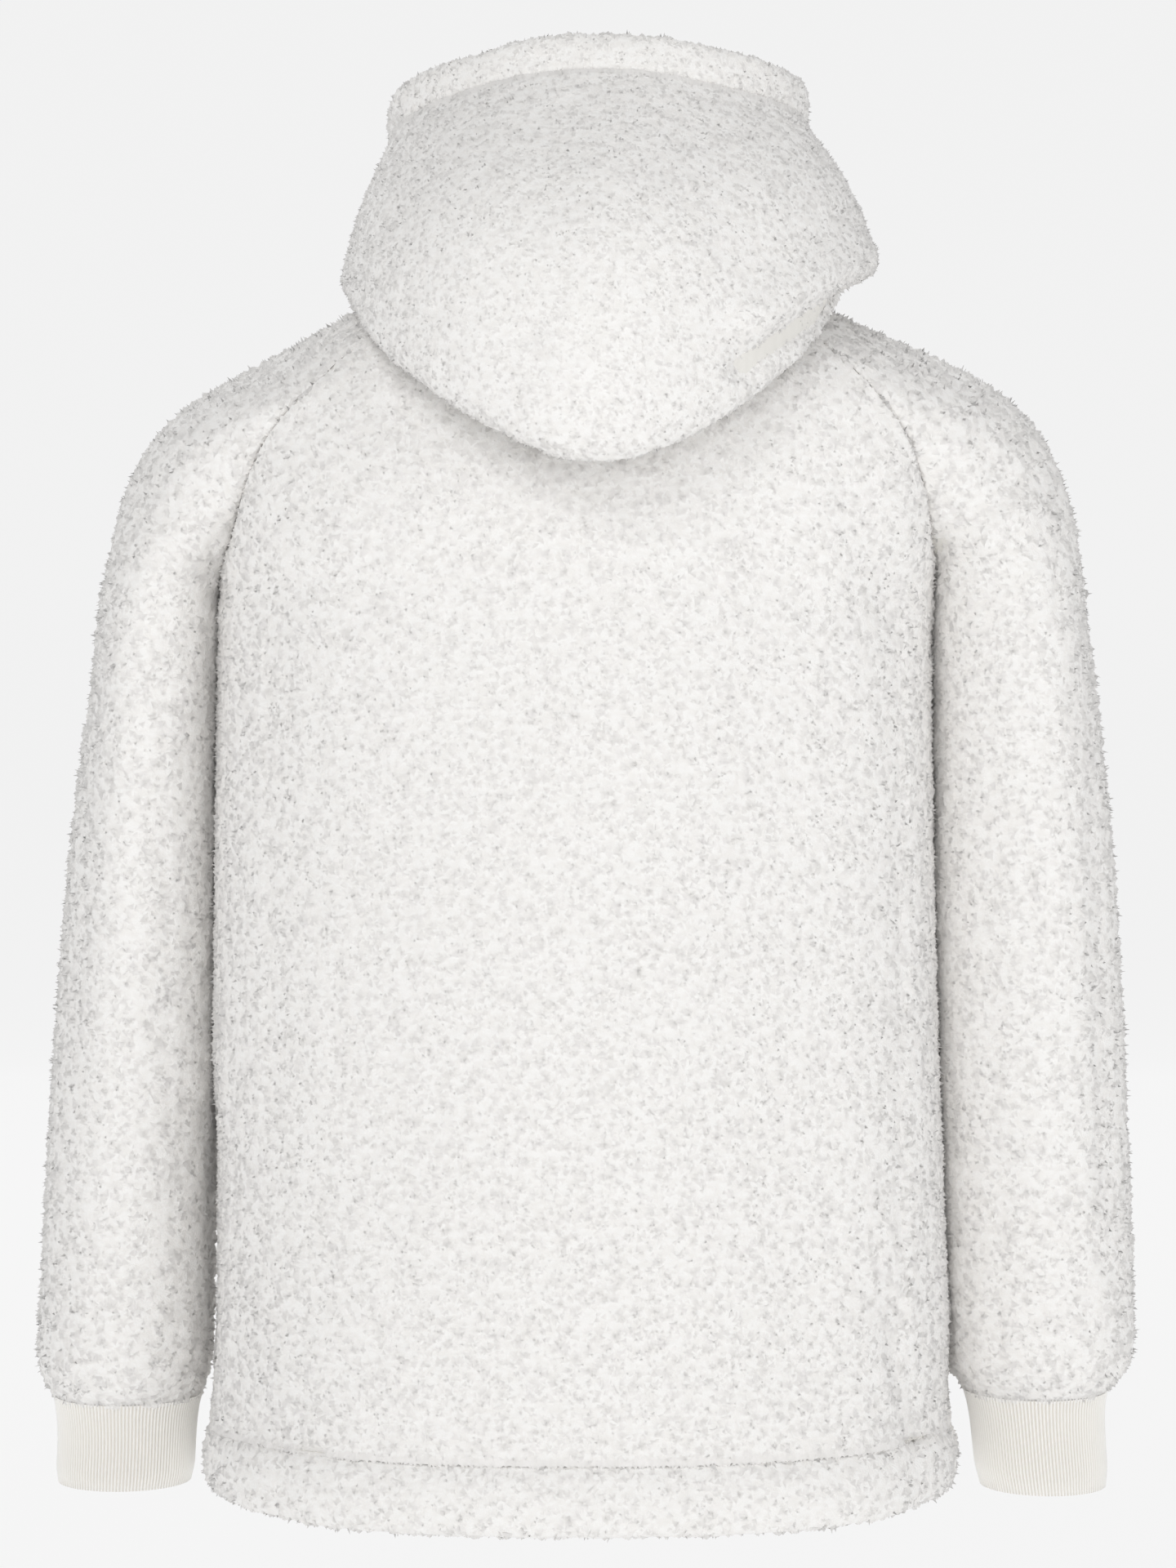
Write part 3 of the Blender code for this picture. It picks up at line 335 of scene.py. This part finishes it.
def split_wall(node, toward, likeness=0.6):
    """A CAD wall's outer face, and the rest of it as its reverse."""
    bm = node_mesh(node)
    outer = face_region(bm, toward, likeness)
    reverse = bm.copy()
    indexes = {f.index for f in outer}
    bmesh.ops.delete(bm, geom=[f for f in bm.faces if f not in outer], context="FACES")
    reverse.faces.ensure_lookup_table()
    bmesh.ops.delete(reverse, geom=[reverse.faces[i] for i in indexes], context="FACES")
    return bm, reverse


def linked(name, mesh):
    """The mesh as an object in the scene."""
    made = bpy.data.objects.new(name, mesh)
    bpy.context.scene.collection.objects.link(made)
    return made


def new_object(name, bm, material):
    """A smooth object from a bmesh.  Plain rib knit is painted as light as high on a rib."""
    mesh = bpy.data.meshes.new(name)
    bm.to_mesh(mesh)
    mesh.materials.append(material)
    mesh.shade_smooth()
    if material is RIB:
        ridge_shade = mesh.attributes.new("ridge_shade", "FLOAT", "POINT")
        ridge_shade.data.foreach_set("value", [PLAIN_RIB_PAINTED_LIGHT] * len(mesh.vertices))
    return linked(name, mesh)


def apply_modifiers(thing):
    deselect_all()
    thing.select_set(True)
    bpy.context.view_layer.objects.active = thing
    for step in list(thing.modifiers):
        bpy.ops.object.modifier_apply(modifier=step.name)
    thing.select_set(False)


def smoothed(thing, levels):
    """Catmull-Clark halvings, applied."""
    step = thing.modifiers.new("subdivision", "SUBSURF")
    step.levels = levels
    step.render_levels = levels
    apply_modifiers(thing)


def lumpy(thing):
    """Moves a sheet's points in and out a little, as standing pile is uneven."""
    mesh = thing.data
    count = len(mesh.vertices)
    points = np.zeros(count * 3, np.float32)
    normals = np.zeros(count * 3, np.float32)
    mesh.vertices.foreach_get("co", points)
    mesh.vertices.foreach_get("normal", normals)
    points, normals = points.reshape(-1, 3), normals.reshape(-1, 3)
    push = np.array([noise.noise(Vector(p) / LUMP_SIZE)
                     + 0.6 * noise.noise(Vector(p) / (LUMP_SIZE * 0.5))
                     for p in points.tolist()])
    points += normals * (push[:, None] * LUMP_HEIGHT)
    mesh.vertices.foreach_set("co", points.reshape(-1))
    mesh.update()


# Creases finer than the CAD's cells: node, side, two ends (x, z), width and height, where a
# trough is negative.  Those on the back (+1) are drawn after the photograph.  Those
# on the front (-1), which it doesn't show, are guessed from the ones behind.
CREASES = (
    ("hood", 1, -0.160, 0.014, -0.088, -0.042, 0.0085, -0.0078),
    ("hood", 1, -0.158, 0.034, -0.094, -0.016, 0.0120, 0.0078),
    ("hood", 1, 0.096, 0.080, 0.103, 0.043, 0.0140, -0.0030),
    ("hood", 1, 0.016, 0.091, 0.037, -0.047, 0.0220, -0.0026),
    ("hood", 1, -0.060, 0.085, -0.085, 0.020, 0.0240, -0.0022),
    ("hood", 1, 0.001, -0.068, 0.000, -0.094, 0.0040, -0.0016),
    ("hood", -1, 0.060, 0.040, 0.100, 0.075, 0.0140, -0.0024),
    ("sleeve_right", 1, -0.199, -0.138, -0.242, -0.094, 0.0100, -0.0040),
    ("sleeve_right", 1, -0.206, -0.152, -0.252, -0.112, 0.0110, 0.0028),
    ("sleeve_right", 1, -0.291, -0.140, -0.303, -0.510, 0.0080, -0.0026),
    ("sleeve_right", 1, -0.240, -0.300, -0.262, -0.350, 0.0120, -0.0020),
    ("sleeve_right", -1, -0.205, -0.150, -0.246, -0.110, 0.0110, -0.0035),
    ("sleeve_left", 1, 0.214, -0.130, 0.245, -0.100, 0.0090, -0.0026),
    ("sleeve_left", 1, 0.284, -0.200, 0.300, -0.420, 0.0110, -0.0022),
    ("sleeve_left", -1, 0.216, -0.145, 0.252, -0.112, 0.0110, -0.0032),
    ("back_panel", 1, -0.172, -0.565, -0.187, -0.640, 0.0090, -0.0034),
    ("back_panel", 1, 0.180, -0.628, 0.150, -0.640, 0.0080, -0.0026),
    ("back_panel", 1, -0.150, -0.105, -0.178, -0.180, 0.0160, -0.0024),
    ("front_panel", -1, 0.168, -0.560, 0.182, -0.638, 0.0100, -0.0030),
    ("front_panel", -1, -0.176, -0.585, -0.160, -0.640, 0.0090, -0.0026),
    ("hem_casing", 1, -0.186, -0.640, -0.190, -0.680, 0.0060, -0.0022),
    ("hem_casing", 1, 0.166, -0.640, 0.172, -0.676, 0.0050, -0.0018),
)


def creased(thing, node):
    """Presses the node's fine creases into its sheet."""
    mesh = thing.data
    points = np.array([v.co for v in mesh.vertices])
    normals = np.array([v.normal for v in mesh.vertices])
    flat = points[:, [0, 2]]
    push = np.zeros(len(points))
    for name, side, x0, z0, x1, z1, width, height in CREASES:
        if name != node:
            continue
        start, along = np.array([x0, z0]), np.array([x1 - x0, z1 - z0])
        place = ((flat - start) @ along / (along @ along)).clip(0.0, 1.0)
        far = np.linalg.norm(flat - start - place[:, None] * along, axis=1) / width
        facing = (normals[:, 1] * side > 0) & (points[:, 1] * side > 0)
        push += np.where(facing, height * np.exp(-far * far), 0.0)
    points += normals * (push + cleft_fill(points, normals))[:, None]
    mesh.vertices.foreach_set("co", points.astype(np.float32).reshape(-1))
    mesh.update()


def cleft_fill(points, normals):
    """How far the pile swells where the sleeves lie against the body's sides."""
    side, height = np.abs(points[:, 0]), points[:, 2]
    lowest = np.where(points[:, 0] < 0, -0.625, -0.480)
    inside = (side > 0.180) & (side < 0.240)
    fade = ((np.abs(normals[:, 0]) - 0.55) / 0.35).clip(0.0, 1.0)
    fade *= ((-0.130 - height) / 0.040).clip(0.0, 1.0) * ((height - lowest) / 0.050).clip(0.0, 1.0)
    return np.where(inside, CLEFT_SWELL * fade, 0.0)


def scattered(sheet, spacing, rng):
    """Points spread at random over a sheet, and the sheet's direction at each."""
    mesh = sheet.data
    mesh.calc_loop_triangles()
    corners = np.array([t.vertices for t in mesh.loop_triangles])
    points = np.array([v.co for v in mesh.vertices])
    normals = np.array([v.normal for v in mesh.vertices])
    a, b, c = (points[corners[:, k]] for k in range(3))
    area = np.linalg.norm(np.cross(b - a, c - a), axis=1) / 2
    count = int(area.sum() / (spacing * spacing))
    pick = rng.choice(len(area), count, p=area / area.sum())
    u, v = rng.random((count, 1)), rng.random((count, 1))
    over = u + v > 1
    u, v = np.where(over, 1 - u, u), np.where(over, 1 - v, v)
    places = a[pick] + (b[pick] - a[pick]) * u + (c[pick] - a[pick]) * v
    return places, normals[corners[pick, 0]]


def sewn_edges(bm):
    """Each border edge of a sheet with its face and the way out across it."""
    for edge in bm.edges:
        if edge.is_boundary:
            first, second = (v.co for v in edge.verts)
            face = edge.link_faces[0]
            across = (second - first).cross(face.normal).normalized()
            if across.dot(first - face.calc_center_median()) < 0:
                across.negate()
            yield edge, face, across


def border_places(sheet):
    """Points along a sheet's sewn edges, the sheet's direction and the way across."""
    bm = bmesh.new()
    bm.from_mesh(sheet.data)
    found = []
    for edge, face, across in sewn_edges(bm):
        first, second = (v.co for v in edge.verts)
        if first.y < 0 and abs(first.x) < ZIP_CLEAR:
            continue
        steps = max(round((second - first).length / BORDER_SPACING), 1)
        for k in range(steps):
            place = first.lerp(second, (k + 0.5) / steps)
            place += face.normal * LOCK_ROOT - across * BORDER_INSET
            found.append((place, face.normal.copy(), across))
    bm.free()
    return [np.array([row[k][:] for row in found]).reshape(-1, 3) for k in range(3)]


def closed_seams(sheet):
    """Draws a sheet's sewn edges over the seam gap, so that the pile meets there."""
    bm = bmesh.new()
    bm.from_mesh(sheet.data)
    moves = {}
    for edge, _, across in sewn_edges(bm):
        for vert in edge.verts:
            moves.setdefault(vert, []).append(across)
    for vert, ways in moves.items():
        vert.co += sum(ways, Vector()) / len(ways) * SEAM_REACH
    bm.to_mesh(sheet.data)
    bm.free()


def unit(rows):
    return rows / np.linalg.norm(rows, axis=1)[:, None]


def pile_locks(name, sheet, spacing, length, width, lean, clump, flatness, seed):
    """Small locks over a sheet, gathered into round clumps with cracks between them.

    The clumps are flatness times as wide as they are high, and each leans its own way.
    """
    rng = np.random.default_rng(seed)
    middles, _ = scattered(sheet, clump, rng)
    squash = np.array([1.0, 1.0, flatness])
    tree = KDTree(len(middles))
    for k, middle in enumerate((middles * squash).tolist()):
        tree.insert(middle, k)
    tree.balance()
    base, up = scattered(sheet, spacing, rng)
    near = np.array([tree.find(p)[1] for p in (base * squash).tolist()])
    away = (base - middles[near]) / (clump * 0.6)
    away -= up * (away * up).sum(1)[:, None]
    reach = np.linalg.norm(away, axis=1)
    away /= np.maximum(reach, 1.0)[:, None]
    own = rng.normal(size=middles.shape)[near] * 0.22
    down = np.array([0.0, 0.0, -1.0]) + up * up[:, 2:]
    direction = unit(up + down * lean + own - away * 0.5 + rng.normal(size=up.shape) * 0.12)
    long = length * (0.85 + 0.3 * rng.random(len(base))) * (1.15 - 0.6 * reach.clip(0, 1) ** 2)

    thin = np.where(rng.random(len(base)) < TUFT_SHARE, 1.0, 0.0)
    long *= 1 + thin * 0.8
    edge_base, edge_up, across = border_places(sheet)
    if len(edge_base):
        base = np.concatenate([base, edge_base])
        up = np.concatenate([up, edge_up])
        away = np.concatenate([away, np.zeros_like(across)])
        loose = rng.normal(size=edge_up.shape) * 0.2
        direction = np.concatenate([direction, unit(edge_up + across * 0.9 + loose)])
        long = np.concatenate([long, length * (0.9 + 0.3 * rng.random(len(edge_base)))])
    count = len(base)
    side = unit(np.cross(up, rng.normal(size=(count, 3))))
    other = np.cross(up, side)
    wide = (width * (0.75 + 0.5 * rng.random(count)))[:, None]
    wide[:len(thin)] *= (1 - 0.65 * thin)[:, None]
    roots = base - up * LOCK_ROOT
    verts = np.zeros((count, 4, 3))
    soft = np.zeros((count, 4, 3))
    for k, turn in enumerate((0.0, 2 * math.pi / 3, 4 * math.pi / 3)):
        out = side * math.cos(turn) + other * math.sin(turn)
        verts[:, k] = roots + out * wide
        soft[:, k] = unit(up + away * 0.26)
    verts[:, 3] = base + direction * long[:, None]
    soft[:, 3] = unit(up + away * 0.16)
    start = (np.arange(count) * 4)[:, None]
    faces = np.concatenate([start + np.array(f) for f in ((0, 1, 3), (1, 2, 3), (2, 0, 3))])
    mesh = bpy.data.meshes.new(name)
    mesh.from_pydata(verts.reshape(-1, 3).tolist(), [], faces.tolist())
    mesh.materials.append(PILE)
    mesh.shade_smooth()
    mesh.normals_split_custom_set_from_vertices(soft.reshape(-1, 3).tolist())
    return linked(name, mesh)


def dress_panel(node, toward, pile, likeness=0.6,
                levels=SHEET_LEVELS):
    """A fleece piece: fine pile face, knitted reverse and its locks, on one CAD wall."""
    bm, reverse = split_wall(node, toward, likeness)
    sheet = new_object(node + "_face", bm, FACE)
    back = new_object(node + "_reverse", reverse, REVERSE)
    bm.free()
    reverse.free()
    smoothed(sheet, levels)
    smoothed(back, REVERSE_LEVELS)
    closed_seams(sheet)
    creased(sheet, node)
    lumpy(sheet)
    locks = pile_locks(node + "_pile", sheet, **pile)
    for piece in (sheet, back, locks):
        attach(piece, "garment")
    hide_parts(node)


def dress_tube(node, pile, levels):
    """A doubled fleece edge that is one closed roll, such as the hem or the hood's edge."""
    bm = node_mesh(node)
    sheet = new_object(node + "_face", bm, FACE)
    bm.free()
    smoothed(sheet, levels)
    creased(sheet, node)
    lumpy(sheet)
    locks = pile_locks(node + "_pile", sheet, **pile)
    for piece in (sheet, locks):
        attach(piece, "garment")
    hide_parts(node)


BODY_PILE = {"spacing": 0.0028, "length": 0.0017, "width": 0.0032, "lean": 0.15,
             "clump": 0.0058, "flatness": 1.4}
SLEEVE_PILE = dict(BODY_PILE, spacing=0.0031, length=0.0020, clump=0.0060, flatness=1.1)
HOOD_PILE = {"spacing": 0.0025, "length": 0.0014, "width": 0.0026, "lean": 0.20,
             "clump": 0.0046, "flatness": 0.75}


def dress_cuff(side):
    """A rib-knit cuff: a doubled tube whose ribs stand up from its ground."""
    node = "cuff_" + side
    bm, reverse = split_wall(node, (-2.0 if side == "right" else 2.0, 0.0, -0.66))
    back = new_object(node + "_reverse", reverse, RIB)
    smoothed(back, 2)
    rings = rings_by_height(bm)
    bm.free()
    reverse.free()
    sheet = ribbed_tube(node + "_rib", rings)
    for piece in (sheet, back):
        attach(piece, "garment")
    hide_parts(node)


def rings_by_height(bm):
    """A tube's rings of points from the top down, each in order from just before +X."""
    heights = {}
    for vert in bm.verts:
        heights.setdefault(round(vert.co.z, 4), []).append(vert.co.copy())
    rings = []
    for height in sorted(heights, reverse=True):
        ring = heights[height]
        if len(ring) < 12:
            continue
        middle = sum(ring, Vector()) / len(ring)
        ring.sort(key=lambda p: (math.atan2(p.y - middle.y, p.x - middle.x) + 0.1) % math.tau)
        rings.append(ring)
    return rings


def ribbed_tube(name, rings):
    """A fine tube through the rings, with knit ribs running down it."""
    stack = np.array([[list(p) for p in ring] for ring in rings])
    count = stack.shape[1]
    girth = np.linalg.norm(np.diff(np.vstack([stack[0], stack[0][:1]]), axis=0), axis=1).sum()
    ribs = round(girth / RIB_PITCH)
    around = ribs * RIB_POINTS
    places = np.arange(around) / around * count
    low = places.astype(int) % count
    share = (places - places.astype(int))[:, None]

    def around_ring(ring):
        """A smooth curve through one ring's points, at every place around it."""
        before, here = ring[(low - 1) % count], ring[low]
        after, beyond = ring[(low + 1) % count], ring[(low + 2) % count]
        return 0.5 * (2 * here + (after - before) * share
                      + (2 * before - 5 * here + 4 * after - beyond) * share ** 2
                      + (3 * here - before - 3 * after + beyond) * share ** 3)

    fine = np.array([around_ring(ring) for ring in stack])
    made_rows = []
    wave = np.cos(np.arange(around) / RIB_POINTS * 2 * math.pi)
    for i in range(RIB_ROWS + 1):
        place = i / RIB_ROWS * (len(fine) - 1)
        k = min(int(place), len(fine) - 2)
        row = fine[k] * (1 - place + k) + fine[k + 1] * (place - k)
        middle = row.mean(axis=0)
        out = row - middle
        out[:, 2] = 0
        out /= np.linalg.norm(out, axis=1)[:, None]
        end_fade = min(1.0, (RIB_ROWS - i) / 2 + 0.25)
        roll = 0.0005 * math.cos(min((RIB_ROWS - i) / 3, 1.0) * math.pi)
        made_rows.append(row + out * (RIB_HEIGHT * wave * end_fade - roll)[:, None])
    made_rows = np.array(made_rows)
    faces = []
    for i in range(RIB_ROWS):
        for j in range(around):
            after = (j + 1) % around
            faces.append((i * around + j, (i + 1) * around + j,
                          (i + 1) * around + after, i * around + after))
    mesh = bpy.data.meshes.new(name)
    mesh.from_pydata(made_rows.reshape(-1, 3).tolist(), [], faces)
    mesh.materials.append(RIB)
    mesh.shade_smooth()
    # How high each point stands on its rib; it sets the painted shade in the grooves and the
    # painted light on the ridges.
    ridge_shade = mesh.attributes.new("ridge_shade", "FLOAT", "POINT")
    ridge_shade.data.foreach_set("value", np.tile(0.5 + 0.5 * wave, RIB_ROWS + 1).astype(np.float32))
    return linked(name, mesh)


def chain_line():
    """Places along the front of the CAD chain, bottom to top, with their directions."""
    low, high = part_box("zip_chain")
    tree = BVHTree.FromBMesh(node_mesh("zip_chain"))
    points = []
    steps = int((high.z - low.z) / TOOTH_PITCH)
    for i in range(steps + 1):
        z = low.z + CHAIN_END + (high.z - low.z - 2 * CHAIN_END) * i / steps
        hit = tree.ray_cast(Vector((0.0, low.y - 0.02, z)), Vector((0, 1, 0)))
        if hit[0] is not None:
            points.append((hit[0], hit[1]))
    return points


def build_teeth():
    """The moulded teeth, side by side in turn from the left and the right tape."""
    bm = bmesh.new()
    for i, (point, normal) in enumerate(chain_line()):
        sign = -1.0 if i % 2 else 1.0
        normal = Vector((0, normal.y, normal.z)).normalized()
        up = Vector((1, 0, 0)).cross(normal) * -1.0
        if up.z < 0:
            up = -up
        frame_matrix = Matrix((Vector((1, 0, 0)), -normal, up)).transposed().to_4x4()
        made = bmesh.ops.create_cube(bm, size=1.0)["verts"]
        head = [v for v in made if v.co.x * sign < 0]
        foot = [v for v in made if v not in head]
        bmesh.ops.scale(bm, vec=(1.0, 1.0, TOOTH_FOOT), verts=foot)
        size = Matrix.Diagonal((TOOTH_WIDTH, TOOTH_DEPTH, TOOTH_PITCH * TOOTH_FILL, 1.0))
        shift = Matrix.Translation(point - normal * TOOTH_OFFSET
                                   + Vector((sign * TOOTH_OFFSET, 0, 0)))
        bmesh.ops.transform(bm, matrix=shift @ frame_matrix @ size, verts=made)
    bmesh.ops.recalc_face_normals(bm, faces=bm.faces)
    teeth = new_object("zip_teeth", bm, TEETH)
    bm.free()
    edge = teeth.modifiers.new("edges", "BEVEL")
    edge.width = 0.00025
    edge.segments = 2
    apply_modifiers(teeth)
    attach(teeth, "garment")
    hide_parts("zip_chain")


def paint_kept_nodes():
    """Materials for the zip's CAD nodes that are shown as they are."""
    for name, material in (("zip_tape_right", TAPE), ("zip_tape_left", TAPE),
                           ("zip_bottom_stop", NICKEL), ("zip_slider", NICKEL),
                           ("zip_pull", NICKEL)):
        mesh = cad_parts[name].data
        mesh.materials.clear()
        mesh.materials.append(material)


place_camera()
build_studio()
dress_panel("back_panel", (0.0, 2.0, -0.3), dict(BODY_PILE, seed=1))
dress_panel("front_panel", (0.1, -2.0, -0.3),
            dict(BODY_PILE, spacing=0.0035, seed=2), likeness=0.75, levels=2)
dress_panel("sleeve_right", (-2.0, 0.0, -0.3), dict(SLEEVE_PILE, seed=3))
dress_panel("sleeve_left", (2.0, 0.0, -0.3), dict(SLEEVE_PILE, seed=4))
dress_panel("hood", (0.0, 2.0, 0.05), dict(HOOD_PILE, seed=5))
dress_tube("hood_edge_band", dict(HOOD_PILE, seed=6), 2)
dress_tube("hem_casing", dict(BODY_PILE, spacing=0.0034, seed=7), 2)
dress_cuff("right")
dress_cuff("left")
build_teeth()
paint_kept_nodes()

deselect_all()
